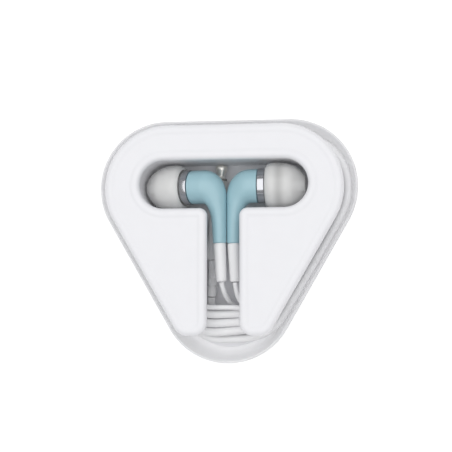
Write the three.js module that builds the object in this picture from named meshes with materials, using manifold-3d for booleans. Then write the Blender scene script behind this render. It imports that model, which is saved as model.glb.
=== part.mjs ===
// Wired in-ear earphones, packed for carrying in their three-cornered winder case.
// Millimetres, +Z up. The origin lies on the table under the middle of the case's outline.
// The two earbuds lie back to back along X, and the slot in the case's plate opens towards -Y.
import * as THREE from "three";
import { mergeVertices } from "three/addons/utils/BufferGeometryUtils.js";
import Module from "manifold-3d";

const wasm = await Module();
wasm.setup();

// ---- Driving dimensions -------------------------------------------------------------------

// Outline of the case: a triangle of corner centres, pointing to -Y, with a round corner at each
const CORNER_SPACING = 33.7;
const CORNER_RADIUS = 18.15;

// Heights in the case
const BASE_RIM_Z = 9.5;
const FLOOR_TOP_Z = 1.6;
const FLANGE_Z = [1.9, 2.8];
const PLATE_Z = [16.8, 19.0];

// Top plate of the reel, and the T-shaped slot through it
const PLATE_SIDE_DISTANCE = 25.4; // from the middle of the case to each straight side
const PLATE_CORNER_RADIUS = 16.7;
const PLATE_EDGE_ROUND = 0.8;
const LOBE_END_Y = -25.5;
const LOBE_OUTER_RADIUS = 4.2;
const LOBE_INNER_RADIUS = 3.7;
const SLOT_CENTRE_Y = 14.5;
const SLOT_HALF_LENGTH = 22.4;
const SLOT_HALF_HEIGHT = 6.38;
const LEG_HALF_WIDTH = 4.25;
const SLOT_FILLET = 2.2;

// Hub of the reel: round corners at the top, a round post on each side of the mouth
const HUB_CORNER_RADIUS = 7.9;
const POST_X = 4.6;
const POST_Y = -14.2;
const POST_RADIUS = 3.0;
const WELL_CLEARANCE = 0.3;
const WELL_LEG_HALF_WIDTH = 6.3;

// Earbud, along its own axis from the middle of the case outwards
const BUD_AXIS_Y = 14.4;
const BUD_AXIS_Z = 11.8;
const BARREL_RADIUS = 4.5;
const BARREL_END = 7.9;
const RING_X = [8.05, 9.95];
const RING_RADIUS = 4.65;
const TIP_START = 10.05;
const TIP_RADIUS = 6.15;
const TIP_LENGTH = 10.6;
const BARREL_EXTRA = { right: 0.6, left: 1.97 }; // added to the barrel, so the ring sits further out
const NOZZLE_RADIUS = 2.0;
const NOZZLE_END = 15.2;
const STEM_GAP = 0.2; // from the middle plane to the side of each stem
const STEM_RADIUS = [2.15, 1.75];
const STEM_TOP_Y = -2.2;
const STEM_END_Y = -15.25;
const SLEEVE_LENGTH = 10.0;
const SLEEVE_RADIUS = [1.65, 1.4];
const LEFT_PITCH = THREE.MathUtils.degToRad(15); // the left ear tip lies lower
const LEFT_SHIFT = { x: 0.2, z: 1.45 }; // and its elbow higher, a little over the other
const SLEEVE_LEAN = { left: 3, right: -2.5 }; // degrees, towards the other earbud

// Cord and plug
const CORD_DIAMETER = 2.2;
const BRANCH_DIAMETER = 1.3;
const GAP = 0.3;
const WINDING_Z = [2.95, 7.6];
const WINDING_DEPTH = 7.1;
const MOUTH_TOP_Z = 9.7; // the turns ride over the plug's lead there
const MOUTH_BACK_Y = -15.0;
const MOUTH_SPREAD = { y: -17.0, radius: 10.6 };
const SIDE_TURN = { reach: 25.3, radius: 6.0, along: [-12, 8] }; // the loose turn on the right
const BRANCH_WINDING_Z = [7.9, 10.4];
const BRANCH_WINDING_DEPTH = 3.0;
const SPLIT = { length: 9.0, width: 3.4, height: 2.6, offset: 5.0, z: 9.2 };
const PLUG_TIP = { x: -2.1, y: 20.9, z: 5.3 };
const PLUG_LEAN = THREE.MathUtils.degToRad(4.45);
const PLUG_RADIUS = 1.75;
const PLUG_BODY_RADIUS = 2.3;
const PLUG_PIN_LENGTH = 14.0;
const PLUG_BODY_END = 26.0;
const PLUG_END = 35.84;

// How finely round things are cut
const ROUND = 28;
const SMALL_ROUND = 16;
const OUTLINE_STEPS = 60;

// ---- Derived places -----------------------------------------------------------------------

const CORNER_X = CORNER_SPACING / 2;
const CORNER_HEIGHT = (CORNER_SPACING * Math.sqrt(3)) / 2;
const CORNER_Y = CORNER_HEIGHT / 2;
const MIDDLE_Y = CORNER_Y - CORNER_SPACING / (2 * Math.sqrt(3));

// ---- Materials ----------------------------------------------------------------------------

function material(color, roughness, metalness = 0, extra = {}) {
  return new THREE.MeshStandardMaterial({ color, roughness, metalness, ...extra });
}

const materials = {
  frosted: material("#dcdcdf", 0.35, 0, { transparent: true, opacity: 0.75 }),
  white: material("#ededf0", 0.4),
  blue: material("#9fc1ca", 0.38),
  chrome: material("#d5d6da", 0.12, 1),
  silicone: material("#c3c5c7", 0.45),
  cord: material("#dfdfe1", 0.5),
  sleeve: material("#dedee1", 0.5),
  dark: material("#3b3c40", 0.6),
  copper: material("#b8733d", 0.35, 1),
  steel: material("#9c9ea3", 0.3, 1),
  film: material("#cfd3d8", 0.3),
  gold: material("#d9d3bf", 0.2, 1),
  insulator: material("#2c2d30", 0.5),
};

// ---- Solids and outlines ------------------------------------------------------------------

function solid(geometry) {
  const bare = geometry.index ? geometry.toNonIndexed() : geometry.clone();
  bare.deleteAttribute("normal");
  bare.deleteAttribute("uv");
  const merged = mergeVertices(bare, 1e-4);
  return new wasm.Manifold(
    new wasm.Mesh({
      numProp: 3,
      vertProperties: merged.attributes.position.array,
      triVerts: new Uint32Array(merged.index.array),
    }),
  );
}

function geometryOf(made) {
  const mesh = made.getMesh();
  const geometry = new THREE.BufferGeometry();
  geometry.setAttribute("position", new THREE.BufferAttribute(mesh.vertProperties, 3));
  geometry.setIndex(new THREE.BufferAttribute(mesh.triVerts, 1));
  geometry.computeVertexNormals();
  return geometry;
}

// The outline that a tight band takes round a set of circles [x, y, radius].
function band(circles, steps = OUTLINE_STEPS) {
  const points = [];
  for (let i = 0; i < steps; i++) {
    const angle = ((i + 0.5) / steps) * 2 * Math.PI;
    const nx = Math.cos(angle);
    const ny = Math.sin(angle);
    const reach = ([x, y, radius]) => x * nx + y * ny + radius;
    const outer = circles.reduce((best, c) => (reach(c) > reach(best) ? c : best));
    points.push(new THREE.Vector2(outer[0] + outer[2] * nx, outer[1] + outer[2] * ny));
  }
  return points;
}

// The three corners of the case, each as a circle of the same radius.
function corners(radius) {
  return [
    [CORNER_X, CORNER_Y, radius],
    [-CORNER_X, CORNER_Y, radius],
    [0, -CORNER_Y, radius],
  ];
}

// The hub's four corners, grown by an even distance.
function hubCircles(grow) {
  return [
    [CORNER_X, CORNER_Y, HUB_CORNER_RADIUS + grow],
    [-CORNER_X, CORNER_Y, HUB_CORNER_RADIUS + grow],
    [-POST_X, POST_Y, POST_RADIUS + grow],
    [POST_X, POST_Y, POST_RADIUS + grow],
  ];
}

function slab(shape, [low, high], options = {}) {
  const geometry = new THREE.ExtrudeGeometry(shape, {
    depth: high - low,
    bevelEnabled: false,
    curveSegments: 8,
    ...options,
  });
  return geometry.translate(0, 0, low);
}

// A closed body of the case's outline whose corner radius follows a profile of [radius, z].
function cornered(profile) {
  const rings = profile.map(([radius, z]) =>
    band(corners(radius)).map((p) => new THREE.Vector3(p.x, p.y, z)),
  );
  const points = rings.flat();
  const first = points.length;
  points.push(new THREE.Vector3(0, MIDDLE_Y, profile[0][1]));
  points.push(new THREE.Vector3(0, MIDDLE_Y, profile[profile.length - 1][1]));
  const faces = [];
  const last = (rings.length - 1) * OUTLINE_STEPS;
  for (let i = 0; i < OUTLINE_STEPS; i++) {
    const j = (i + 1) % OUTLINE_STEPS;
    faces.push(first, j, i, first + 1, last + i, last + j);
    for (let r = 0; r < rings.length - 1; r++) {
      const a = r * OUTLINE_STEPS;
      const b = a + OUTLINE_STEPS;
      faces.push(a + i, a + j, b + j, a + i, b + j, b + i);
    }
  }
  const geometry = new THREE.BufferGeometry().setFromPoints(points);
  geometry.setIndex(faces);
  geometry.computeVertexNormals();
  return geometry;
}

// A body turned about +X from a profile of [x, radius] that runs from low x to high x outside.
function turned(profile, segments = ROUND) {
  const points = profile.map(([x, radius]) => new THREE.Vector2(radius, x));
  return new THREE.LatheGeometry(points, segments).rotateZ(-Math.PI / 2);
}

// A ring or tube turned about +X between two places, with an outer and an inner radius.
function washer([from, to], outer, inner, segments = ROUND) {
  return turned(
    [[from, inner], [from, outer], [to, outer], [to, inner], [from, inner]],
    segments,
  );
}

function disc([from, to], radius, segments = ROUND) {
  return turned([[from, 0], [from, radius], [to, radius], [to, 0]], segments);
}

// A round cord along a smooth curve through hand-placed points.
function cordTube(points, diameter, steps) {
  const curve = new THREE.CatmullRomCurve3(points.map((p) => new THREE.Vector3(...p)));
  const section = new THREE.Shape();
  section.absarc(0, 0, diameter / 2, 0, 2 * Math.PI);
  return new THREE.ExtrudeGeometry(section, { steps, extrudePath: curve, curveSegments: 4 });
}

function add(group, name, geometry, finish) {
  const mesh = new THREE.Mesh(geometry, finish);
  mesh.name = name;
  group.add(mesh);
  return mesh;
}

// ---- Case ---------------------------------------------------------------------------------

// A shallow frosted dish. Its wall swells outwards to the rim, and the rim is thin.
function caseBase() {
  const outside = [
    [CORNER_RADIUS - 3.2, 0],
    [CORNER_RADIUS - 2.2, 0.3],
    [CORNER_RADIUS - 1.2, 1.3],
    [CORNER_RADIUS - 0.5, 3.3],
    [CORNER_RADIUS - 0.1, 6.0],
    [CORNER_RADIUS, 8.2],
    [CORNER_RADIUS - 0.15, BASE_RIM_Z],
  ];
  const inside = [
    [CORNER_RADIUS - 0.75, BASE_RIM_Z],
    [CORNER_RADIUS - 1.1, 8.0],
    [CORNER_RADIUS - 1.5, 5.2],
    [CORNER_RADIUS - 2.1, 2.9],
    [CORNER_RADIUS - 3.2, FLOOR_TOP_Z],
  ];
  return cornered([...outside, ...inside]);
}

// The outline of the T: a long round-ended slot across, and a leg that runs out at the bottom.
function slotShape(grow, legHalfWidth) {
  const high = SLOT_HALF_HEIGHT + grow;
  const endX = SLOT_HALF_LENGTH - SLOT_HALF_HEIGHT;
  const leg = legHalfWidth;
  const low = SLOT_CENTRE_Y - high;
  const outside = -2 * CORNER_RADIUS;
  const shape = new THREE.Shape();
  shape.moveTo(-leg, outside);
  shape.lineTo(leg, outside);
  shape.absarc(leg + SLOT_FILLET, low - SLOT_FILLET, SLOT_FILLET, Math.PI, Math.PI / 2, true);
  shape.absarc(endX, SLOT_CENTRE_Y, high, -Math.PI / 2, Math.PI / 2);
  shape.absarc(-endX, SLOT_CENTRE_Y, high, Math.PI / 2, 1.5 * Math.PI);
  shape.absarc(-leg - SLOT_FILLET, low - SLOT_FILLET, SLOT_FILLET, Math.PI / 2, 0, true);
  return shape;
}

// The plate's outline, with the T-slot and the two round lobes beside its mouth.
function plateShape() {
  const side = PLATE_SIDE_DISTANCE;
  const radius = PLATE_CORNER_RADIUS;
  const cornerX = (side - radius) * Math.sqrt(3);
  const cornerY = MIDDLE_Y + side - radius;
  const low = SLOT_CENTRE_Y - SLOT_HALF_HEIGHT;
  const endX = SLOT_HALF_LENGTH - SLOT_HALF_HEIGHT;
  const leg = LEG_HALF_WIDTH;
  const outer = LOBE_OUTER_RADIUS;
  const inner = LOBE_INNER_RADIUS;
  const outerY = LOBE_END_Y + outer;
  const outerX = (side - outer + (outerY - MIDDLE_Y) / 2) / Math.cos(Math.PI / 6);
  const innerY = LOBE_END_Y + inner;
  const shape = new THREE.Shape();
  shape.absarc(cornerX, cornerY, radius, -Math.PI / 6, Math.PI / 2);
  shape.absarc(-cornerX, cornerY, radius, Math.PI / 2, (7 / 6) * Math.PI);
  shape.absarc(-outerX, outerY, outer, (7 / 6) * Math.PI, 1.5 * Math.PI);
  shape.absarc(-leg - inner, innerY, inner, 1.5 * Math.PI, 2 * Math.PI);
  shape.absarc(-leg - SLOT_FILLET, low - SLOT_FILLET, SLOT_FILLET, 0, Math.PI / 2);
  shape.absarc(-endX, SLOT_CENTRE_Y, SLOT_HALF_HEIGHT, 1.5 * Math.PI, Math.PI / 2, true);
  shape.absarc(endX, SLOT_CENTRE_Y, SLOT_HALF_HEIGHT, Math.PI / 2, -Math.PI / 2, true);
  shape.absarc(leg + SLOT_FILLET, low - SLOT_FILLET, SLOT_FILLET, Math.PI / 2, Math.PI);
  shape.absarc(leg + inner, innerY, inner, Math.PI, 1.5 * Math.PI);
  shape.absarc(outerX, outerY, outer, -Math.PI / 2, -Math.PI / 6);
  shape.closePath();
  return shape;
}

function reelPlate() {
  const round = PLATE_EDGE_ROUND;
  return slab(plateShape(), [PLATE_Z[0] + round, PLATE_Z[1] - round], {
    bevelEnabled: true,
    bevelThickness: round,
    bevelSize: round,
    bevelOffset: -round,
    bevelSegments: 3,
  });
}

// The hub stands on a flat flange that carries the winding. Its well holds earbuds and plug.
function reelHub() {
  const flange = slab(new THREE.Shape(band(corners(CORNER_RADIUS - 4.4))), FLANGE_Z);
  const wall = slab(new THREE.Shape(band(hubCircles(0))), [FLANGE_Z[0], PLATE_Z[0]]);
  const well = slab(slotShape(WELL_CLEARANCE, WELL_LEG_HALF_WIDTH), [
    FLANGE_Z[1],
    PLATE_Z[1],
  ]);
  return geometryOf(solid(wall).subtract(solid(well)).add(solid(flange)));
}

// ---- Earbuds ------------------------------------------------------------------------------

// The stem's axis at a given height, straight between its round top and its end.
function stemX(y) {
  const share = (y - STEM_TOP_Y) / (STEM_END_Y - STEM_TOP_Y);
  return STEM_GAP + STEM_RADIUS[0] + share * (STEM_RADIUS[1] - STEM_RADIUS[0]);
}

// A body turned about the stem's direction, moved so that its profile starts at (x, y).
// The profile is [distance along -Y, radius].
function hanging(profile, x, y, lean, segments = SMALL_ROUND) {
  return turned(profile, segments)
    .rotateZ(-Math.PI / 2 - lean)
    .translate(x, y, 0);
}

// A hollow barrel with a round back, and a tapered stem that grows out of it.
function housing(extra) {
  const barrel = turned([
    [0.6, 0],
    [0.75, 0.9],
    [1.3, 1.9],
    [2.2, 2.9],
    [3.4, 3.75],
    [4.9, 4.3],
    [6.4, BARREL_RADIUS],
    [BARREL_END + extra, BARREL_RADIUS],
    [BARREL_END + extra, 0],
  ]);
  const reach = STEM_TOP_Y - STEM_END_Y;
  const lean = Math.atan2(STEM_RADIUS[0] - STEM_RADIUS[1], reach);
  const stemLength = reach / Math.cos(lean);
  const stem = hanging(
    [
      [-STEM_RADIUS[0], 0],
      [-0.87 * STEM_RADIUS[0], 0.5 * STEM_RADIUS[0]],
      [-0.5 * STEM_RADIUS[0], 0.87 * STEM_RADIUS[0]],
      [0, STEM_RADIUS[0]],
      [stemLength, STEM_RADIUS[1]],
      [stemLength, 0],
    ],
    stemX(STEM_TOP_Y),
    STEM_TOP_Y,
    lean,
  );
  const chamber = turned([[3.6, 0], [3.6, 1.8], [4.5, 3.9], [2 * BARREL_END, 3.9], [2 * BARREL_END, 0]]);
  const bore = hanging([[0, 0], [0, 0.75], [2 * reach, 0.75], [2 * reach, 0]],
    stemX(STEM_TOP_Y), STEM_TOP_Y, lean);
  const joined = solid(barrel).add(solid(stem));
  return geometryOf(joined.subtract(solid(chamber)).subtract(solid(bore)));
}

// The nozzle's flange closes the barrel, and its tube carries the ear tip.
function nozzle() {
  return turned([
    [7.6, 1.3],
    [7.6, 3.55],
    [9.6, 3.55],
    [9.6, 2.6],
    [10.2, NOZZLE_RADIUS],
    [NOZZLE_END - 1.4, NOZZLE_RADIUS],
    [NOZZLE_END - 1.0, NOZZLE_RADIUS + 0.2],
    [NOZZLE_END, NOZZLE_RADIUS - 0.1],
    [NOZZLE_END, 1.3],
    [7.6, 1.3],
  ]);
}

// A soft umbrella with a thick collar: the skirt hangs free round the collar.
function earTip() {
  const end = TIP_LENGTH;
  return turned([
    [0.9, 2.35],
    [0.9, 3.2],
    [7.6, 3.3],
    [6.9, 4.6],
    [4.4, 5.35],
    [1.6, 5.55],
    [0.5, 5.5],
    [0.3, 5.8],
    [0.6, 6.1],
    [2.4, TIP_RADIUS],
    [4.8, 6.05],
    [7.0, 5.4],
    [8.8, 4.4],
    [end - 0.7, 3.3],
    [end, 2.3],
    [end - 0.2, 1.5],
    [end - 1.2, 1.4],
    [6.0, 1.4],
    [5.4, 2.35],
    [0.9, 2.35],
  ]).translate(TIP_START, 0, 0);
}

function earbud(side) {
  const group = new THREE.Group();
  const extra = BARREL_EXTRA[side];
  const put = (name, geometry, finish) => add(group, side + "_" + name, geometry, finish);
  const further = (name, geometry, finish) => put(name, geometry.translate(extra, 0, 0), finish);
  put("housing", housing(extra), materials.blue);
  further("trim_ring", washer(RING_X, RING_RADIUS, 3.75), materials.chrome);
  further("nozzle", nozzle(), materials.dark);
  further("acoustic_mesh", disc([14.3, 14.6], 1.15, SMALL_ROUND), materials.steel);
  further("driver_frame", washer([4.8, 7.3], 3.6, 2.6, SMALL_ROUND), materials.dark);
  further("driver_magnet", disc([4.9, 6.3], 2.3, SMALL_ROUND), materials.steel);
  further("voice_coil", washer([6.4, 6.75], 1.9, 1.6, SMALL_ROUND), materials.copper);
  further("diaphragm", disc([6.9, 7.1], 2.5, SMALL_ROUND), materials.film);
  further("ear_tip", earTip(), materials.silicone);
  const sleeve = hanging(
    [
      [0, 0],
      [0, SLEEVE_RADIUS[0]],
      [SLEEVE_LENGTH - 0.4, SLEEVE_RADIUS[1]],
      [SLEEVE_LENGTH, SLEEVE_RADIUS[1] - 0.4],
      [SLEEVE_LENGTH, 0],
    ],
    stemX(STEM_END_Y),
    STEM_END_Y - GAP,
    THREE.MathUtils.degToRad(SLEEVE_LEAN[side]),
  );
  put("strain_relief", sleeve, materials.sleeve);
  group.position.set(0, BUD_AXIS_Y, BUD_AXIS_Z);
  return group;
}

// ---- Cord and plug ------------------------------------------------------------------------

// A flat ring between two outlines.
function flatRing(outside, inside, heights) {
  const shape = new THREE.Shape(outside);
  shape.holes.push(new THREE.Path(inside));
  return slab(shape, heights);
}

// A circle that touches the loose turn's outside, some way along the case's right side.
function sideCircle(along) {
  const out = new THREE.Vector2(Math.cos(Math.PI / 6), -Math.sin(Math.PI / 6));
  const { reach, radius } = SIDE_TURN;
  return [
    out.x * (reach - radius) - out.y * along,
    MIDDLE_Y + out.y * (reach - radius) + out.x * along,
    radius,
  ];
}

// The wound main cord as one closed ring round the hub, wider and higher across the mouth.
// Its outermost turn lies loose against the case's wall on the right.
function cordWinding() {
  const outside = band([
    ...hubCircles(WINDING_DEPTH),
    [0, MOUTH_SPREAD.y, MOUTH_SPREAD.radius],
    ...SIDE_TURN.along.map(sideCircle),
  ]);
  const ring = flatRing(outside, band(hubCircles(GAP)), WINDING_Z);
  const inside = band(hubCircles(BRANCH_WINDING_DEPTH + GAP));
  const raised = flatRing(outside, inside, [WINDING_Z[0], MOUTH_TOP_Z]);
  const behind = new THREE.BoxGeometry(4 * CORNER_X, 4 * CORNER_Y, 4 * MOUTH_TOP_Z);
  behind.translate(0, MOUTH_BACK_Y + 2 * CORNER_Y, 0);
  return geometryOf(solid(ring).add(solid(raised).subtract(solid(behind))));
}

// The two branch cords, wound against the hub on top of the main cord.
function branchWinding() {
  return flatRing(band(hubCircles(BRANCH_WINDING_DEPTH)), band(hubCircles(GAP)), BRANCH_WINDING_Z);
}

// The moulded block where the main cord divides into the two branches.
function ySplit() {
  const half = SPLIT.width / 2;
  const round = 1.1;
  const straight = half - round;
  const flat = SPLIT.height / 2 - round;
  const shape = new THREE.Shape();
  shape.absarc(straight, flat, round, 0, Math.PI / 2);
  shape.absarc(-straight, flat, round, Math.PI / 2, Math.PI);
  shape.absarc(-straight, -flat, round, Math.PI, 1.5 * Math.PI);
  shape.absarc(straight, -flat, round, -Math.PI / 2, 0);
  shape.closePath();
  const y = CORNER_Y + HUB_CORNER_RADIUS + SPLIT.offset;
  return slab(shape, [-SPLIT.length / 2, SPLIT.length / 2], { curveSegments: 5 })
    .rotateY(Math.PI / 2)
    .rotateX(Math.PI / 2)
    .translate(0, y, SPLIT.z);
}

// A 3.5 mm three-pole plug, its pieces turned about one axis from the tip backwards.
function plug() {
  const group = new THREE.Group();
  const put = (name, geometry, finish) => add(group, "plug_" + name, geometry, finish);
  const pin = PLUG_RADIUS;
  const body = PLUG_BODY_RADIUS;
  const tip = turned([
    [-3.6, 0],
    [-3.6, 1.2],
    [-3.0, 0.95],
    [-1.0, 1.6],
    [-0.4, 1.6],
    [0, 1.1],
    [0, 0],
  ], SMALL_ROUND);
  put("tip_contact", tip, materials.gold);
  put("front_insulator", disc([-4.2, -3.62], pin - 0.1, SMALL_ROUND), materials.insulator);
  put("ring_contact", disc([-6.6, -4.22], pin, SMALL_ROUND), materials.gold);
  put("rear_insulator", disc([-7.2, -6.62], pin - 0.1, SMALL_ROUND), materials.insulator);
  put("sleeve_contact", disc([-PLUG_PIN_LENGTH, -7.22], pin, SMALL_ROUND), materials.gold);
  const start = PLUG_PIN_LENGTH + 0.1;
  const grip = turned([
    [-PLUG_BODY_END, 0],
    [-PLUG_BODY_END, body - 0.4],
    [-PLUG_BODY_END + 0.6, body],
    [-start - 1.1, body],
    [-start, body - 0.5],
    [-start, 0],
  ], SMALL_ROUND);
  put("body", grip, materials.white);
  const relief = turned([
    [-PLUG_END, 0],
    [-PLUG_END, 1.15],
    [-PLUG_BODY_END - 0.1, 1.75],
    [-PLUG_BODY_END - 0.1, 0],
  ], SMALL_ROUND);
  put("strain_relief", relief, materials.sleeve);
  group.rotation.z = Math.PI / 2 - PLUG_LEAN;
  group.position.set(PLUG_TIP.x, PLUG_TIP.y, PLUG_TIP.z);
  return group;
}

// Hand-placed routes of the short stretches that are not wound.
const LEFT_BRANCH_ROUTE = [
  [-1.18, -11.5, 12.75],
  [-1.05, -12.9, 12.1],
  [-0.1, -15.0, 9.6],
  [0.8, -16.6, 8.2],
];
const RIGHT_BRANCH_ROUTE = [
  [2.38, -11.5, 11.8],
  [2.55, -13.2, 11.2],
  [2.9, -15.2, 10.2],
  [3.2, -16.7, 9.6],
];
const PLUG_LEAD_ROUTE = [
  [-4.9, -15.15, 5.3],
  [-4.95, -15.8, 5.25],
  [-4.98, -16.4, 5.15],
  [-5.0, -17.0, 5.0],
];

// ---- The whole object ---------------------------------------------------------------------

const earphones = new THREE.Group();
add(earphones, "case_base", caseBase(), materials.frosted);
add(earphones, "reel_hub", reelHub(), materials.white);
add(earphones, "reel_plate", reelPlate(), materials.white);
add(earphones, "cord_winding", cordWinding(), materials.cord);
add(earphones, "branch_winding", branchWinding(), materials.cord);
add(earphones, "y_split", ySplit(), materials.sleeve);
add(earphones, "left_branch_cord", cordTube(LEFT_BRANCH_ROUTE, BRANCH_DIAMETER, 6), materials.cord);
add(earphones, "right_branch_cord", cordTube(RIGHT_BRANCH_ROUTE, BRANCH_DIAMETER, 6), materials.cord);
add(earphones, "plug_lead", cordTube(PLUG_LEAD_ROUTE, CORD_DIAMETER, 5), materials.cord);
earphones.add(plug());

const right = earbud("right");
const left = earbud("left");
left.rotation.y = Math.PI - LEFT_PITCH;
left.position.x += LEFT_SHIFT.x;
left.position.z += LEFT_SHIFT.z;
earphones.add(right, left);

export default earphones;
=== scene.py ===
"""Wired in-ear earphones, packed in their three-cornered winder case.

Dimensions below are in millimetres and are turned into metres where a mesh is made. The frame is
the CAD part's: +Z up, origin on the table under the middle of the case. Seen from above, the cord
runs clockwise round the hub: out of the mouth to -X, up the left side, over the top, and down the
right side back to the mouth.
"""

import math

import bmesh
import bpy
from mathutils import Matrix, Vector, geometry


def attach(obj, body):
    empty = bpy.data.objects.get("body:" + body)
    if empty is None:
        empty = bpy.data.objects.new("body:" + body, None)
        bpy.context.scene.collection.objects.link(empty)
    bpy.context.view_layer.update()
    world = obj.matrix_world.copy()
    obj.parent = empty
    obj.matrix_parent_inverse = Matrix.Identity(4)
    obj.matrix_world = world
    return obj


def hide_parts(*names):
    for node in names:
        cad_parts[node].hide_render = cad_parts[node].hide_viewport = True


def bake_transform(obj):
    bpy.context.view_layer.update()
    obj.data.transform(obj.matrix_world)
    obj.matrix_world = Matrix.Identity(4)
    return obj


MM = 0.001

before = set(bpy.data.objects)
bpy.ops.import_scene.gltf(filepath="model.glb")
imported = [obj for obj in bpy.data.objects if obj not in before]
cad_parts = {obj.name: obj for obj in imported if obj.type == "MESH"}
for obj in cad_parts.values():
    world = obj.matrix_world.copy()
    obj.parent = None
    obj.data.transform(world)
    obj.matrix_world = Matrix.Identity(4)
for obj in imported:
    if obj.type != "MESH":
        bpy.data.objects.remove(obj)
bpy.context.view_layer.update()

# ---- Dimensions of the case ----------------------------------------------------------------

CORNER_SPACING = 33.7
CORNER_X = CORNER_SPACING / 2
CORNER_Y = CORNER_SPACING * math.sqrt(3) / 4
MIDDLE_Y = CORNER_Y - CORNER_SPACING / (2 * math.sqrt(3))

# Corner radius and height along the dish's wall, from the foot outside over the lip to the floor
DISH_WALL = [
    (14.4, 0.0), (15.2, 0.04), (15.95, 0.3), (16.55, 0.75), (16.95, 1.3), (17.35, 2.2),
    (17.65, 3.3), (17.88, 4.6), (18.05, 6.0), (18.14, 7.4), (18.15, 8.5), (18.1, 9.15),
    (17.98, 9.42), (17.82, 9.5), (17.62, 9.45), (17.5, 9.25), (17.38, 8.7), (17.05, 7.4),
    (16.85, 6.2), (16.6, 5.0), (16.3, 3.8), (15.95, 2.8), (15.5, 2.1), (14.95, 1.72),
    (14.2, 1.6),
]
FLANGE_RADIUS = 13.75
# Inset from the flange's radius and height, round its edge
FLANGE_EDGE = [(0.4, 1.9), (0.1, 1.98), (0.0, 2.2), (0.0, 2.5), (0.1, 2.72), (0.4, 2.8)]

PLATE_SIDE = 25.4
PLATE_CORNER_RADIUS = 16.7
LOBE_END_Y = -25.5
LOBE_OUTER_RADIUS = 4.2
LOBE_INNER_RADIUS = 3.7
SLOT_Y = 14.5
SLOT_HALF_LENGTH = 22.4
SLOT_HALF_HEIGHT = 6.38
LEG_HALF_WIDTH = 4.25
SLOT_FILLET = 2.2
LEAST_RADIUS = 0.12  # of any corner of the plate, however far its edge is inset
# Inset from the outline and height: a rolled edge, and the flat a little lower inside it
PLATE_EDGE = [
    (1.0, 16.8), (0.45, 16.86), (0.12, 17.1), (0.0, 17.5), (0.03, 17.9), (0.14, 18.28),
    (0.36, 18.6), (0.68, 18.84), (1.05, 18.96), (1.42, 19.0), (1.8, 18.99), (2.1, 18.93),
    (2.35, 18.84), (2.6, 18.78), (2.9, 18.76),
]

HUB_CORNER_RADIUS = 7.9
POST_X, POST_Y, POST_RADIUS = 4.6, -14.2, 3.0
HUB_Z = (2.3, 16.8)
WELL_CLEARANCE = 0.3
WELL_LEG_HALF_WIDTH = 6.3

# ---- Dimensions of an earbud, along its axis from the middle of the case outwards ------------

BUD_Y = 14.4
BUD_Z = 11.8
LEFT_PITCH = math.radians(15)
LEFT_SHIFT = Vector((0.2, 0, 1.45))
SLEEVE_LEAN = {"left": math.radians(3), "right": math.radians(-2.5)}
STEM_GAP = 0.2
STEM_RADIUS = (2.15, 1.75)
STEM_TOP_Y = -2.2
STEM_END_Y = -15.25
SLEEVE_GAP = 0.05  # under the stem's end
TIP_START = 10.05
BARREL_EXTRA = {"right": 0.6, "left": 1.97}  # how much further out the ring and tip sit

# ---- Dimensions of the cord ----------------------------------------------------------------

MAIN_RADIUS = 1.1
FREE_LENGTH = 34.0  # of each branch, the stretch that an earbud draws out with it
BRANCH_RADIUS = 0.65
SPLIT_LENGTH, SPLIT_WIDTH, SPLIT_HEIGHT = 9.0, 3.4, 2.6
# How far from either end, and the share of the full section there
SPLIT_ENDS = [(0.0, 0.8), (0.15, 0.9), (0.5, 0.97), (1.2, 1.0)]
SPLIT_SQUARENESS = 0.6  # 1 is an ellipse, less is squarer
SPLIT_Y = CORNER_Y + HUB_CORNER_RADIUS + 5.0
SPLIT_Z = 9.2
PLUG_TIP = Vector((-2.1, 20.9, 5.3))
PLUG_LEAN = math.radians(4.45)
ON_AXIS = 1e-3  # the radius at which a turned profile starts and ends

# ---- Camera --------------------------------------------------------------------------------

CAMERA_AIM = Vector((-0.4, 4.0, 9.5)) * MM
CAMERA_DIRECTION = Vector((0.139, -0.087, 0.986)).normalized()
CAMERA_DISTANCE = 0.36
VIEW_WIDTH = 0.1215  # metres across the picture at the aim
SENSOR = 36.0


def make_camera():
    data = bpy.data.cameras.new("camera")
    data.sensor_width = SENSOR
    data.lens = SENSOR * CAMERA_DISTANCE / VIEW_WIDTH
    data.clip_start = 0.01
    data.clip_end = 10
    camera = bpy.data.objects.new("camera", data)
    bpy.context.scene.collection.objects.link(camera)
    back = CAMERA_DIRECTION
    side = Vector((0, 1, 0)).cross(back).normalized()
    up = back.cross(side)
    camera.matrix_world = Matrix.Translation(CAMERA_AIM + back * CAMERA_DISTANCE) @ Matrix(
        (side, up, back)
    ).transposed().to_4x4()
    bpy.context.scene.camera = camera


make_camera()


# ---- Meshes --------------------------------------------------------------------------------


def mesh_object(name, points, faces, sharp=40, place=None):
    """A shown mesh from millimetre points, shaded smooth except over edges sharper than that."""
    mesh = bpy.data.meshes.new(name)
    mesh.from_pydata([Vector(p) * MM for p in points], [], faces)
    if place is not None:
        mesh.transform(place)
    return shown(name, mesh, sharp)


def shown(name, mesh, sharp=40):
    work = bmesh.new()
    work.from_mesh(mesh)
    bmesh.ops.remove_doubles(work, verts=work.verts, dist=1e-7)
    bmesh.ops.recalc_face_normals(work, faces=work.faces)
    work.to_mesh(mesh)
    work.free()
    mesh.shade_smooth()
    mesh.set_sharp_from_angle(angle=math.radians(sharp))
    piece = bpy.data.objects.new(name, mesh)
    bpy.context.scene.collection.objects.link(piece)
    return piece


def loft(rings, closed=True):
    """Points and faces between rings of one count; a closed loft joins the last to the first."""
    count = len(rings[0])
    points = [p for ring in rings for p in ring]
    faces = []
    for r in range(len(rings) if closed else len(rings) - 1):
        a, b = r * count, ((r + 1) % len(rings)) * count
        for i in range(count):
            j = (i + 1) % count
            faces.append((a + i, a + j, b + j, b + i))
    return points, faces


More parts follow.
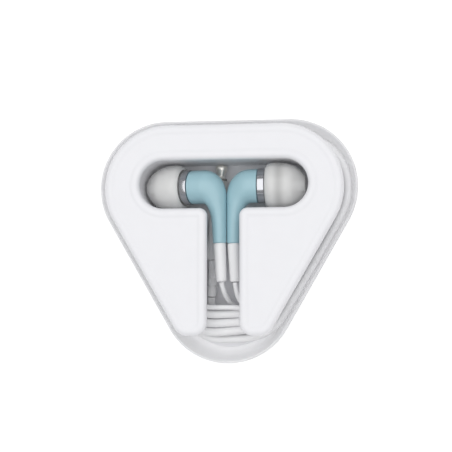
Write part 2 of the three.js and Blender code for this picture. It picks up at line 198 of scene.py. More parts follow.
def smooth_line(points, step):
    """An even walk along a Catmull-Rom line through the points."""
    points = [Vector(p) for p in points]
    dense = []
    for i in range(len(points) - 1):
        a = points[max(i - 1, 0)]
        b, c = points[i], points[i + 1]
        d = points[min(i + 2, len(points) - 1)]
        pieces = max(2, int((c - b).length / step * 3))
        for k in range(pieces):
            t = k / pieces
            dense.append(
                0.5 * (2 * b + (c - a) * t + (2 * a - 5 * b + 4 * c - d) * t * t
                       + (3 * b - a - 3 * c + d) * t * t * t)
            )
    dense.append(points[-1])
    total = sum((q - p).length for p, q in zip(dense, dense[1:]))
    count = max(2, round(total / step))
    walk, travelled, i = [dense[0]], 0.0, 0
    for k in range(1, count):
        goal = total * k / count
        while travelled + (dense[i + 1] - dense[i]).length < goal:
            travelled += (dense[i + 1] - dense[i]).length
            i += 1
        span = (dense[i + 1] - dense[i]).length
        walk.append(dense[i].lerp(dense[i + 1], (goal - travelled) / span))
    walk.append(dense[-1])
    return walk


def relaxed(points, rounds):
    """The points with their corners eased; both ends stay."""
    points = [Vector(p) for p in points]
    for _ in range(rounds):
        eased = [
            (a + 2 * b + c) / 4 for a, b, c in zip(points, points[1:], points[2:])
        ]
        points = [points[0], *eased, points[-1]]
    return points


def tube(name, path, radius, sides=20, place=None):
    """A closed round tube along the path, turned as little as the path allows."""
    tangents = [
        (path[min(i + 1, len(path) - 1)] - path[max(i - 1, 0)]).normalized()
        for i in range(len(path))
    ]
    normal = tangents[0].orthogonal().normalized()
    rings = []
    for i, (p, t) in enumerate(zip(path, tangents)):
        if i:
            normal = (normal - t * normal.dot(t)).normalized()
        side = t.cross(normal)
        r = radius(i / (len(path) - 1)) if callable(radius) else radius
        rings.append([
            p + r * (math.cos(a) * normal + math.sin(a) * side)
            for a in (2 * math.pi * k / sides for k in range(sides))
        ])
    points, faces = loft(rings, closed=False)
    faces.append(tuple(range(sides)))
    faces.append(tuple(range(len(points) - sides, len(points))))
    return mesh_object(name, points, faces, sharp=60, place=place)


def turned(name, profile, place, segments=72, sharp=40):
    """A body turned about +X from [x, radius]; a profile that ends on itself makes a ring."""
    closed = profile[0] == profile[-1]
    profile = profile[:-1] if closed else profile
    rings = []
    for x, r in profile:
        r = max(r, 1e-4)
        rings.append([
            Vector((x, r * math.cos(a), r * math.sin(a)))
            for a in (2 * math.pi * k / segments for k in range(segments))
        ])
    points, faces = loft(rings, closed=closed)
    if not closed:
        faces.append(tuple(range(segments)))
        faces.append(tuple(range(len(points) - segments, len(points))))
    return mesh_object(name, points, faces, sharp=sharp, place=place)


def arc(x, y, radius, start, end, count):
    return [
        (x + radius * math.cos(a), y + radius * math.sin(a))
        for a in (start + (end - start) * k / count for k in range(count + 1))
    ]


def wrapped(circles, arc_steps=36, side_steps=6):
    """The outline a tight band takes round circles [x, y, radius], given anticlockwise."""
    count = len(circles)
    angles = []
    for i, (x, y, r) in enumerate(circles):
        nx, ny, nr = circles[(i + 1) % count]
        length = math.hypot(nx - x, ny - y)
        heading = math.atan2(ny - y, nx - x)
        angles.append(heading - math.pi / 2 + math.asin((r - nr) / length))
    outline = []
    for i, (x, y, r) in enumerate(circles):
        start, end = angles[i - 1], angles[i]
        while end < start:
            end += 2 * math.pi
        turn = arc(x, y, r, start, end, arc_steps)
        if outline:
            outline += sides_between(outline[-1], turn[0], side_steps)
        outline += turn
    outline += sides_between(outline[-1], outline[0], side_steps)
    return outline


def sides_between(a, b, steps):
    return [
        (a[0] + (b[0] - a[0]) * k / steps, a[1] + (b[1] - a[1]) * k / steps)
        for k in range(1, steps)
    ]


# ---- Winding -------------------------------------------------------------------------------

RAIL_WIDTH = 3.5  # the offset from the hub at which lengths along the rail are true


def hub_rail():
    """The hub's outline clockwise from the middle of the mouth, as lines and arcs with lengths."""
    down, up = -math.pi / 2, math.pi / 2
    reach = math.hypot(CORNER_X - POST_X, CORNER_Y - POST_Y)
    side = math.atan2(CORNER_Y - POST_Y, CORNER_X - POST_X) - math.acos(
        (POST_RADIUS - HUB_CORNER_RADIUS) / reach
    )
    posts = [((-POST_X, POST_Y), POST_RADIUS), ((POST_X, POST_Y), POST_RADIUS)]
    tops = [((-CORNER_X, CORNER_Y), HUB_CORNER_RADIUS), ((CORNER_X, CORNER_Y), HUB_CORNER_RADIUS)]

    def at(circle, angle):
        (x, y), r = circle
        return (x + r * math.cos(angle), y + r * math.sin(angle))

    pieces = []

    def line(a, b, normal):
        pieces.append((math.dist(a, b), "line", a, b, normal))

    def bend(circle, start, end):
        length = (start - end) * (circle[1] + RAIL_WIDTH)
        pieces.append((length, "arc", circle, start, end))

    line((0, POST_Y - POST_RADIUS), at(posts[0], down), down)
    bend(posts[0], down, -math.pi - side)
    line(at(posts[0], math.pi - side), at(tops[0], math.pi - side), math.pi - side)
    bend(tops[0], math.pi - side, up)
    line(at(tops[0], up), at(tops[1], up), up)
    bend(tops[1], up, side)
    line(at(tops[1], side), at(posts[1], side), side)
    bend(posts[1], side, down)
    line(at(posts[1], down), (0, POST_Y - POST_RADIUS), down)
    return pieces


RAIL = hub_rail()
RAIL_LENGTH = sum(piece[0] for piece in RAIL)


def rail_point(turn, offset):
    """A point outside the hub at a share of one turn from the mouth, that far off the hub."""
    left = (turn % 1.0) * RAIL_LENGTH
    for length, kind, first, second, third in RAIL:
        if left <= length or (kind, first) == RAIL[-1][1:3]:
            share = min(left / length, 1.0)
            if kind == "line":
                return (
                    first[0] + share * (second[0] - first[0]) + offset * math.cos(third),
                    first[1] + share * (second[1] - first[1]) + offset * math.sin(third),
                )
            angle = second + share * (third - second)
            (x, y), r = first
            return (x + (r + offset) * math.cos(angle), y + (r + offset) * math.sin(angle))
        left -= length


def between(keys, turn):
    """Offset and height at a place on a turn, eased between keys (turn, offset, height)."""
    if turn <= keys[0][0]:
        return keys[0][1:]
    for a, b in zip(keys, keys[1:]):
        if turn <= b[0]:
            t = (turn - a[0]) / (b[0] - a[0])
            t = t * t * (3 - 2 * t)
            return tuple(p + t * (q - p) for p, q in zip(a[1:], b[1:]))
    return keys[-1][1:]


TURN_STEPS = 160


def wound(keys, start, end):
    count = max(2, round((end - start) * TURN_STEPS))
    points = []
    for i in range(count + 1):
        turn = start + (end - start) * i / count
        offset, height = between(keys, turn)
        points.append(Vector((*rail_point(turn, offset), height)))
    return points


# The main cord lies in two layers against the hub; the branch cords lie on top of them.
LOW, HIGH, TOP = 3.95, 6.25, 8.05
INNER, MIDDLE, OUTER = 1.15, 3.45, 5.75
OVER = 8.55  # where a turn of the upper layer rides over the mouth

PLUG_LEAD = [
    (-4.88, -14.9, 5.3), (-4.96, -15.9, 5.2), (-5.0, -17.2, 4.6), (-5.05, -18.6, 4.05),
    (-5.5, -20.0, 3.95), (-6.5, -21.3, 3.95), (-7.9, -22.1, 3.95),
]
# Each turn: (share of the turn from the mouth, offset from the hub, height)
MAIN_TURNS = [
    [(0.10, 7.0, LOW), (0.19, OUTER, LOW)],
    [(-0.42, OUTER, LOW), (-0.32, 7.48, 6.2), (-0.13, 8.46, 6.6), (-0.04, 8.8, HIGH),
     (0.02, 9.1, HIGH), (0.085, 4.6, HIGH), (0.14, MIDDLE, LOW)],
    [(-0.13, MIDDLE, LOW), (-0.06, 5.0, HIGH), (0.0, 5.0, HIGH), (0.06, 2.0, HIGH),
     (0.12, INNER, LOW)],
    [(-0.11, INNER, LOW), (-0.07, 2.2, 6.0), (-0.03, 2.3, 8.4), (0.03, 2.55, OVER),
     (0.12, 2.5, OVER), (0.20, INNER, HIGH)],
    [(-0.20, INNER, HIGH), (-0.10, 4.1, 8.2), (-0.04, 4.45, OVER), (0.03, 4.95, OVER),
     (0.12, 4.9, OVER), (0.20, MIDDLE, HIGH)],
    [(-0.22, MIDDLE, HIGH), (-0.12, 6.3, 8.4), (-0.04, 6.6, OVER), (0.03, 7.35, OVER),
     (0.12, 7.2, OVER), (0.20, OUTER, HIGH), (0.36, OUTER, HIGH), (0.46, 5.0, SPLIT_Z)],
]
SPLIT_TURN = 0.474  # where the cord enters the split, just short of the top's middle

LEFT_TURNS = [
    [(-0.46, 4.3, SPLIT_Z), (-0.38, 3.35, TOP), (-0.28, 3.35, TOP), (-0.20, 3.0, 10.3),
     (-0.06, 1.7, 10.2), (-0.005, 0.65, 9.0), (0.14, 0.65, 9.0), (0.24, 0.65, TOP)],
    [(-0.14, 0.65, TOP), (-0.07, 0.65, 6.3), (-0.03, 0.9, 6.2)],
]
LEFT_END = [
    (3.2, -18.2, 6.2), (1.6, -17.9, 6.3), (0.4, -16.8, 7.3), (-0.26, -15.43, 9.15),
    (-0.71, -14.05, 10.75), (-1.05, -12.65, 12.05), (-1.18, -11.25, 12.8),
]
RIGHT_TURNS = [
    [(-0.46, 5.7, SPLIT_Z), (-0.38, 4.7, TOP), (-0.28, 4.7, TOP), (-0.20, 4.4, 10.3),
     (-0.09, 3.3, 10.45), (-0.06, 3.0, 10.6), (-0.015, 0.65, 10.6), (0.14, 0.65, 10.35),
     (0.19, 1.9, 9.6), (0.26, 2.0, TOP)],
    [(-0.32, 2.0, TOP), (-0.22, 0.65, 9.4), (-0.05, 0.65, 9.4)],
]
RIGHT_END = [
    (3.9, -17.25, 9.35), (3.4, -16.4, 9.8), (2.95, -15.0, 10.5), (2.6, -13.4, 11.3),
    (2.43, -12.2, 11.7), (2.38, -11.25, 11.8),
]


def main_line():
    points = [Vector(p) for p in PLUG_LEAD]
    points += wound(MAIN_TURNS[0], 0.11, 0.5)
    for turn in MAIN_TURNS[1:5]:
        points += wound(turn, -0.5, 0.5)[1:]
    points += wound(MAIN_TURNS[5], -0.5, SPLIT_TURN)[1:]
    return smooth_line(relaxed(points, 3), 0.6)


def branch_line(turns, end, stop):
    points = wound(turns[0], -SPLIT_TURN, 0.5) + wound(turns[1], -0.5, stop)[1:]
    points += [Vector(p) for p in end]
    return smooth_line(relaxed(points, 2), 0.45)


def divided(line, length):
    """The line in two: all but its last stretch of that length, and that stretch."""
    i, left = len(line) - 1, length
    while left > 0:
        left -= (line[i] - line[i - 1]).length
        i -= 1
    return line[: i + 1], line[i:]


MAIN_LINE = main_line()
LEFT_LINE = branch_line(LEFT_TURNS, LEFT_END, -0.04)
RIGHT_LINE = branch_line(RIGHT_TURNS, RIGHT_END, -0.045)

LEFT_WOUND, LEFT_FREE = divided(LEFT_LINE, FREE_LENGTH)
RIGHT_WOUND, RIGHT_FREE = divided(RIGHT_LINE, FREE_LENGTH)

main_cord = tube("main_cord", MAIN_LINE, MAIN_RADIUS, sides=20)
left_wound = tube("left_branch_wound", LEFT_WOUND, BRANCH_RADIUS, sides=16)
right_wound = tube("right_branch_wound", RIGHT_WOUND, BRANCH_RADIUS, sides=16)
left_free = tube("left_branch_free", LEFT_FREE, BRANCH_RADIUS, sides=16)
right_free = tube("right_branch_free", RIGHT_FREE, BRANCH_RADIUS, sides=16)
for piece in (main_cord, left_wound, right_wound):
    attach(piece, "reel")
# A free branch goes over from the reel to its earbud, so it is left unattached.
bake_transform(left_free)
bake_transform(right_free)


# ---- Case and reel -------------------------------------------------------------------------


def case_corners(radius):
    return [(CORNER_X, CORNER_Y, radius), (-CORNER_X, CORNER_Y, radius), (0, -CORNER_Y, radius)]


def hub_corners(grow):
    r = HUB_CORNER_RADIUS + grow
    post = POST_RADIUS + grow
    return [
        (CORNER_X, CORNER_Y, r), (-CORNER_X, CORNER_Y, r),
        (-POST_X, POST_Y, post), (POST_X, POST_Y, post),
    ]


def capped(name, rings, middle, sharp=40):
    """A lofted body closed at both ends by a fan round the middle."""
    points, faces = loft(rings, closed=False)
    count = len(rings[0])
    for start, height in ((0, rings[0][0][2]), (len(points) - count, rings[-1][0][2])):
        points.append((middle[0], middle[1], height))
        hub = len(points) - 1
        faces += [(start + i, start + (i + 1) % count, hub) for i in range(count)]
    return mesh_object(name, points, faces, sharp=sharp)


def make_dish():
    rings = [
        [(x, y, z) for x, y in wrapped(case_corners(radius), arc_steps=48)]
        for radius, z in DISH_WALL
    ]
    return capped("case_dish", rings, (0, MIDDLE_Y), sharp=60)


def plate_outline(inset):
    """The plate's edge moved inwards, with the same count of points whatever the inset."""
    corner = PLATE_CORNER_RADIUS
    corner_x = (PLATE_SIDE - corner) * math.sqrt(3)
    corner_y = MIDDLE_Y + PLATE_SIDE - corner
    low = SLOT_Y - SLOT_HALF_HEIGHT
    end_x = SLOT_HALF_LENGTH - SLOT_HALF_HEIGHT
    outer_y = LOBE_END_Y + LOBE_OUTER_RADIUS
    outer_x = (PLATE_SIDE - LOBE_OUTER_RADIUS + (outer_y - MIDDLE_Y) / 2) / math.cos(math.pi / 6)
    inner_y = LOBE_END_Y + LOBE_INNER_RADIUS
    inner_x = LEG_HALF_WIDTH + LOBE_INNER_RADIUS
    fillet_x, fillet_y = LEG_HALF_WIDTH + SLOT_FILLET, low - SLOT_FILLET
    # Centre, radius (negative where the plate is outside the arc), from and to in degrees
    right_half = [
        (fillet_x, fillet_y, SLOT_FILLET, 90, 180),
        (inner_x, inner_y, LOBE_INNER_RADIUS, 180, 270),
        (outer_x, outer_y, LOBE_OUTER_RADIUS, 270, 330),
        (corner_x, corner_y, corner, -30, 90),
    ]
    left_half = [
        (-x, y, r, 180 - end, 180 - start) for x, y, r, start, end in reversed(right_half)
    ]
    slot = [
        (-end_x, SLOT_Y, -SLOT_HALF_HEIGHT, 270, 90),
        (end_x, SLOT_Y, -SLOT_HALF_HEIGHT, 90, -90),
    ]
    outline = []
    for x, y, r, start, end in right_half + left_half + slot:
        a, b = math.radians(start), math.radians(end)
        wanted = r - inset if r > 0 else -r + inset
        radius = max(wanted, LEAST_RADIUS)
        shift = wanted - radius
        x += shift * (math.cos(a) + math.cos(b))
        y += shift * (math.sin(a) + math.sin(b))
        steps = max(12, round(abs(b - a) * math.sqrt(abs(r)) * 7))
        outline += arc(x, y, radius, a, b, steps)
    return outline


def filled(outline):
    """Triangles over a flat outline, by index into it."""
    flat = [Vector((x, y, 0)) for x, y in outline]
    return geometry.tessellate_polygon([flat])


def make_plate():
    rings = [[(x, y, z) for x, y in plate_outline(inset)] for inset, z in PLATE_EDGE]
    points, faces = loft(rings, closed=False)
    count = len(rings[0])
    last = len(points) - count
    for ring, start in ((rings[0], 0), (rings[-1], last)):
        faces += [tuple(start + i for i in tri) for tri in filled([p[:2] for p in ring])]
    return mesh_object("plate", points, faces, sharp=35)


def make_hub():
    """The hub's wall: its outline, open at the mouth, with the T-shaped well inside."""
    leg, f, q = WELL_LEG_HALF_WIDTH, SLOT_FILLET, math.pi / 2
    high = SLOT_HALF_HEIGHT + WELL_CLEARANCE
    low = SLOT_Y - high
    end_x = SLOT_HALF_LENGTH - SLOT_HALF_HEIGHT
    mouth_y = POST_Y - math.sqrt(POST_RADIUS**2 - (leg - POST_X) ** 2)
    outside = [
        p for p in wrapped(hub_corners(0)) if not (abs(p[0]) <= leg and p[1] < mouth_y + 1)
    ]
    first = next(
        i for i, p in enumerate(outside) if p[0] > 0 and outside[i - 1][0] < 0 and p[1] < 0
    )
    outside = outside[first:] + outside[:first]
    inside = [
        *arc(-leg - f, low - f, f, 0, q, 16),
        *arc(-end_x, SLOT_Y, high, 3 * q, q, 48),
        *arc(end_x, SLOT_Y, high, q, -q, 48),
        *arc(leg + f, low - f, f, q, 2 * q, 16),
    ]
    outline = [(leg, mouth_y), *outside, (-leg, mouth_y), *inside]
    points, faces = loft([[(x, y, z) for x, y in outline] for z in HUB_Z], closed=False)
    count = len(outline)
    for start in (0, count):
        faces += [tuple(start + i for i in tri) for tri in filled(outline)]
    return mesh_object("hub", points, faces)


def make_flange():
    rings = [
        [(x, y, z) for x, y in wrapped(case_corners(FLANGE_RADIUS - inset), arc_steps=40)]
        for inset, z in FLANGE_EDGE
    ]
    return capped("flange", rings, (0, MIDDLE_Y), sharp=50)


dish = make_dish()
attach(dish, "base")
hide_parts("case_base")
plate = make_plate()
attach(plate, "reel")
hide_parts("reel_plate")
hub = make_hub()
flange = make_flange()
for piece in (hub, flange):
    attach(piece, "reel")
    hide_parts("reel_hub")


# ---- Earbuds -------------------------------------------------------------------------------

# The housing as slices from the barrel's mouth, round the elbow, to the stem's end: the slice's
# point on the outside of the bend, its point on the inside, and half its width along Z. The
# first few move out with the barrel.
BARREL_SLICES = [
    ((7.9, 4.38), (7.9, -4.38), 4.38), ((7.78, 4.5), (7.78, -4.5), 4.5),
    ((7.2, 4.5), (7.4, -4.5), 4.5),
]
ELBOW_SLICES = [
    ((6.2, 4.46), (6.9, -4.52), 4.47), ((4.9, 4.27), (6.35, -4.6), 4.38),
    ((3.6, 3.75), (5.9, -4.8), 4.15), ((2.4, 2.85), (5.5, -5.15), 3.8),
    ((1.35, 1.6), (5.15, -5.6), 3.4), ((0.65, 0.1), (4.9, -6.15), 3.02),
    ((0.24, -1.5), (4.68, -6.75), 2.7), ((0.13, -3.2), (4.46, -7.4), 2.45),
    ((0.12, -5.2), (4.26, -8.2), 2.22), ((0.12, -7.6), (4.12, -9.3), 2.05),
    ((0.12, -10.4), (3.96, -11.3), 1.9), ((0.12, -13.4), (3.79, -13.6), 1.8),
    ((0.15, -15.05), (3.7, -15.05), 1.75), ((0.27, -15.25), (3.58, -15.25), 1.62),
]
RING_PROFILE = [
    (8.05, 3.75), (8.05, 4.5), (8.08, 4.58), (8.16, 4.63), (8.3, 4.65), (9.7, 4.65),
    (9.84, 4.63), (9.92, 4.58), (9.95, 4.5), (9.95, 3.75), (8.05, 3.75),
]
NOZZLE_PROFILE = [
    (7.6, 1.3), (7.6, 3.55), (9.6, 3.55), (9.7, 3.45), (9.7, 2.7), (9.85, 2.3), (10.2, 2.0),
    (13.8, 2.0), (14.1, 2.12), (14.3, 2.2), (14.6, 2.17), (15.1, 1.95), (15.2, 1.85),
    (15.2, 1.3), (7.6, 1.3),
]
# The soft tip from its own start: collar, underside of the skirt, rim, dome and mouth
TIP_PROFILE = [
    (0.9, 2.35), (0.9, 3.1), (1.0, 3.2), (3.0, 3.22), (5.4, 3.26), (6.9, 3.34), (7.35, 3.55),
    (7.35, 3.95), (6.8, 4.6), (5.8, 5.05), (4.4, 5.32), (3.0, 5.44), (1.8, 5.38), (1.0, 5.16),
    (0.45, 4.94), (0.2, 4.86), (0.08, 4.94), (0.06, 5.12), (0.2, 5.42), (0.55, 5.76),
    (1.1, 6.02), (1.8, 6.15), (2.6, 6.2),
    (3.6, 6.17), (4.8, 6.04), (6.0, 5.78), (7.0, 5.42), (8.0, 4.92), (8.8, 4.36),
    (9.45, 3.78), (9.92, 3.22), (10.3, 2.74), (10.52, 2.38), (10.6, 2.05), (10.56, 1.75),
    (10.4, 1.54), (10.1, 1.43), (9.5, 1.4), (6.1, 1.4), (5.5, 1.6), (5.4, 2.35), (0.9, 2.35),
]
SLEEVE_PROFILE = [
    (0.0, ON_AXIS), (0.0, 1.45), (0.06, 1.58), (0.2, 1.65), (1.2, 1.63), (5.0, 1.53), (9.2, 1.42),
    (9.85, 1.38), (10.13, 1.24), (10.25, 1.02), (10.25, ON_AXIS),
]


def stem_x(y):
    share = (y - STEM_TOP_Y) / (STEM_END_Y - STEM_TOP_Y)
    return STEM_GAP + STEM_RADIUS[0] + share * (STEM_RADIUS[1] - STEM_RADIUS[0])


def catmull(rows, steps):
    """Rows of numbers with eased rows in between."""
    eased = []
    for i in range(len(rows) - 1):
        a, b = rows[max(i - 1, 0)], rows[i]
        c, d = rows[i + 1], rows[min(i + 2, len(rows) - 1)]
        for k in range(steps):
            t = k / steps
            eased.append([
                0.5 * (2 * q + (r - p) * t + (2 * p - 5 * q + 4 * r - s) * t * t
                       + (3 * q - p - 3 * r + s) * t ** 3)
                for p, q, r, s in zip(a, b, c, d)
            ])
    eased.append(list(rows[-1]))
    return eased


def make_housing(name, extra, place):
    rows = [
        (ox + extra, oy, ix + extra, iy, half) for (ox, oy), (ix, iy), half in BARREL_SLICES
    ] + [(*outside, *inside, half) for outside, inside, half in ELBOW_SLICES]
    rows = [rows[0], *catmull(rows[1:-1], 5), rows[-1]]
    count = 72
    rings = []
    for ox, oy, ix, iy, half in rows:
        middle = Vector(((ox + ix) / 2, (oy + iy) / 2, 0))
        reach = Vector(((ox - ix) / 2, (oy - iy) / 2, 0))
        rings.append([
            middle + math.cos(a) * reach + Vector((0, 0, half * math.sin(a)))
            for a in (2 * math.pi * k / count for k in range(count))
        ])
    points, faces = loft(rings, closed=False)
    faces += [tuple(range(count)), tuple(range(len(points) - count, len(points)))]
    return mesh_object(name, points, faces, sharp=45, place=place)


def make_sleeve(name, place, lean):
    """A soft sleeve under the stem's end, leaning a little out of line with the stem."""
    down = Matrix.Translation(Vector((stem_x(STEM_END_Y), STEM_END_Y - SLEEVE_GAP, 0)) * MM)
    turn = Matrix.Rotation(-math.pi / 2 - lean, 4, "Z")
    return turned(name, SLEEVE_PROFILE, place @ down @ turn, segments=48)


def make_earbud(side, place):
    body, tip_body = side + "_earbud", side + "_tip"
    extra = BARREL_EXTRA[side]
    out = place @ Matrix.Translation(Vector((extra, 0, 0)) * MM)
    pieces = {
        "housing": make_housing(side + "_shell", extra, place),
        "trim_ring": turned(side + "_ring", RING_PROFILE, out, segments=96, sharp=60),
        "nozzle": turned(side + "_sound_tube", NOZZLE_PROFILE, out),
        "strain_relief": make_sleeve(side + "_sleeve", place, SLEEVE_LEAN[side]),
    }
    for node, piece in pieces.items():
        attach(piece, body)
        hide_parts(f"{side}_{node}")
    start = Matrix.Translation(Vector((TIP_START, 0, 0)) * MM)
    tip = turned(side + "_soft_tip", TIP_PROFILE, out @ start, segments=120, sharp=50)
    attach(tip, tip_body)
    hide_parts(side + "_ear_tip")
    pieces["ear_tip"] = tip
    return pieces


BUD_PLACE = Matrix.Translation(Vector((0, BUD_Y, BUD_Z)) * MM)
right_bud = make_earbud("right", BUD_PLACE)
LEFT_PLACE = Matrix.Translation(LEFT_SHIFT * MM) @ BUD_PLACE
left_bud = make_earbud("left", LEFT_PLACE @ Matrix.Rotation(math.pi - LEFT_PITCH, 4, "Y"))


# ---- Plug and split ------------------------------------------------------------------------

# Turning profiles from the plug's tip at 0 backwards
PLUG_PROFILES = {
    "tip_contact": [
        (-3.6, ON_AXIS), (-3.6, 1.1), (-3.55, 1.15), (-3.2, 1.02), (-3.0, 0.96), (-2.8, 0.97),
        (-1.4, 1.48), (-1.0, 1.58), (-0.6, 1.6), (-0.3, 1.54), (-0.1, 1.36), (0.0, 1.08),
        (0.02, ON_AXIS),
    ],
    "front_insulator": [(-4.2, ON_AXIS), (-4.2, 1.65), (-3.62, 1.65), (-3.62, ON_AXIS)],
    "ring_contact": [
        (-6.6, ON_AXIS), (-6.6, 1.7), (-6.55, 1.75), (-4.27, 1.75), (-4.22, 1.7), (-4.22, ON_AXIS),
    ],
    "rear_insulator": [(-7.2, ON_AXIS), (-7.2, 1.65), (-6.62, 1.65), (-6.62, ON_AXIS)],
    "sleeve_contact": [
        (-14.0, ON_AXIS), (-14.0, 1.75), (-7.27, 1.75), (-7.22, 1.7), (-7.22, ON_AXIS),
    ],
    "body": [
        (-26.0, ON_AXIS), (-26.0, 1.8), (-25.9, 2.0), (-25.65, 2.18), (-25.3, 2.28), (-24.8, 2.3),
        (-15.6, 2.3), (-15.0, 2.26), (-14.5, 2.12), (-14.2, 1.95), (-14.1, 1.75), (-14.1, ON_AXIS),
    ],
    "strain_relief": [
        (-35.84, ON_AXIS),
        (-35.84, 1.05), (-35.7, 1.15), (-33.2, 1.2), (-33.1, 1.13), (-32.7, 1.13),
        (-32.6, 1.24), (-31.2, 1.32), (-31.1, 1.24), (-30.7, 1.26), (-30.6, 1.36), (-29.2, 1.46),
        (-29.1, 1.38), (-28.7, 1.4), (-28.6, 1.5), (-27.0, 1.64), (-26.3, 1.72), (-26.1, 1.7),
        (-26.1, ON_AXIS),
    ],
}


def make_plug():
    place = Matrix.Translation(PLUG_TIP * MM) @ Matrix.Rotation(math.pi / 2 - PLUG_LEAN, 4, "Z")
    made = {}
    for name, profile in PLUG_PROFILES.items():
        piece = turned("jack_" + name, profile, place, segments=48, sharp=35)
        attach(piece, "reel")
        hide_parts("plug_" + name)
        made[name] = piece
    return made


def make_split():
    """A flat moulded block whose ends draw in round the cords."""
    half = SPLIT_LENGTH / 2
    count = 64
    stations = [(inset - half, share) for inset, share in SPLIT_ENDS]
    stations += [(half - inset, share) for inset, share in reversed(SPLIT_ENDS)]
    rings = []
    for x, share in stations:
        ring = []
        for k in range(count):
            a = 2 * math.pi * k / count
            c, s = math.cos(a), math.sin(a)
            y = math.copysign(abs(c) ** SPLIT_SQUARENESS, c) * SPLIT_WIDTH / 2
            z = math.copysign(abs(s) ** SPLIT_SQUARENESS, s) * SPLIT_HEIGHT / 2
            ring.append((x, SPLIT_Y + share * y, SPLIT_Z + share * z))
        rings.append(ring)
    points, faces = loft(rings, closed=False)
    faces += [tuple(range(count)), tuple(range(len(points) - count, len(points)))]
    return mesh_object("split_block", points, faces, sharp=50)


plug = make_plug()
split = make_split()
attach(split, "reel")
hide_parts("y_split")
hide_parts("cord_winding", "plug_lead")
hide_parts("branch_winding")
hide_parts("branch_winding")
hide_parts("left_branch_cord")
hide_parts("right_branch_cord")


# ---- Materials -----------------------------------------------------------------------------


def linear(hexadecimal):
    """A colour as the renderer wants it, from its usual six digits."""
    channels = [int(hexadecimal[i : i + 2], 16) / 255 for i in (1, 3, 5)]
    return tuple(c / 12.92 if c <= 0.04045 else ((c + 0.055) / 1.055) ** 2.4 for c in channels)


# What each finish looks like. grain is the size in millimetres of its faint mottling, mottle how
# far the colour strays, and bump the height in millimetres of its surface texture. glow is the
# share of light that a thin wall lets through softly, and clear the share that it lets through
# straight. The shade band darkens the colour round one X: its middle, its reach to each side,
# and by how much. It is painted shade: the shadow at the end of the right ear tip's collar,
# seen through the silicone.
FINISHES = {
    "frosted_dish": dict(
        color="#FAFAFB", roughness=0.42, grain=1.4, mottle=0.015, bump=0.004, glow=0.45,
        clear=0.18,
    ),
    "white_shell": dict(color="#EDEDF0", roughness=0.4, grain=1.0, mottle=0.015, bump=0.003),
    "blue_shell": dict(
        color="#9FC3CD", roughness=0.36, grain=0.9, mottle=0.02, bump=0.003,
        sockets={"Coat Weight": 0.15, "Coat Roughness": 0.25},
    ),
    "bright_ring": dict(
        color="#BCBDC1", roughness=0.16, grain=0.6, mottle=0.01, bump=0.0005, metallic=1.0,
    ),
    # The silicone's darker band is painted shade, for the collar's shadow inside the right tip.
    "silicone": dict(
        color="#FCFCFB", roughness=0.3, grain=1.2, mottle=0.02, bump=0.002, glow=0.2,
        clear=0.38, painted_shade_band=(14.5, 1.9, 0.24), sockets={"Coat Weight": 0.6, "Coat Roughness": 0.12},
    ),
    "cord_jacket": dict(
        color="#F0F0F1", roughness=0.48, grain=0.8, mottle=0.02, bump=0.004,
        sockets={"Sheen Weight": 0.08},
    ),
    "white_rubber": dict(color="#EBEBEC", roughness=0.5, grain=0.8, mottle=0.02, bump=0.004),
    "plug_metal": dict(
        color="#F9F5EE", roughness=0.3, grain=0.5, mottle=0.02, bump=0.001, metallic=0.55,
    ),
    "insulator": dict(color="#8A8680", roughness=0.5, grain=0.6, mottle=0.04, bump=0.003),
    "dark_plastic": dict(color="#4A4B50", roughness=0.55, grain=0.8, mottle=0.05, bump=0.004),
    "steel_mesh": dict(
        color="#9C9EA3", roughness=0.32, grain=0.25, mottle=0.3, bump=0.05, metallic=1.0,
    ),
    "magnet": dict(
        color="#A9ABB0", roughness=0.3, grain=0.7, mottle=0.04, bump=0.002, metallic=1.0,
    ),
    "copper_coil": dict(
        color="#B8733D", roughness=0.35, grain=0.2, mottle=0.12, bump=0.01, metallic=1.0,
    ),
    "film": dict(color="#CFD3D8", roughness=0.3, grain=0.5, mottle=0.03, bump=0.002),
}


def painted_shade(tree, place, colour, middle, reach, share):
    """The colour, darker by that share round one X, fading out within reach (millimetres): painted
    shade.
    """
    axes = tree.nodes.new("ShaderNodeSeparateXYZ")
    tree.links.new(place, axes.inputs["Vector"])
    past = tree.nodes.new("ShaderNodeMath")
    past.operation = "SUBTRACT"
    past.inputs[1].default_value = middle * MM
    tree.links.new(axes.outputs["X"], past.inputs[0])
    away = tree.nodes.new("ShaderNodeMath")
    away.operation = "ABSOLUTE"
    tree.links.new(past.outputs["Value"], away.inputs[0])
    fade = tree.nodes.new("ShaderNodeMapRange")
    fade.interpolation_type = "SMOOTHSTEP"
    fade.inputs["From Max"].default_value = reach * MM
    fade.inputs["To Min"].default_value = 1 - share
    tree.links.new(away.outputs["Value"], fade.inputs["Value"])
    scaled = tree.nodes.new("ShaderNodeVectorMath")
    scaled.operation = "SCALE"
    tree.links.new(colour, scaled.inputs["Vector"])
    tree.links.new(fade.outputs["Result"], scaled.inputs["Scale"])
    return scaled.outputs["Vector"]


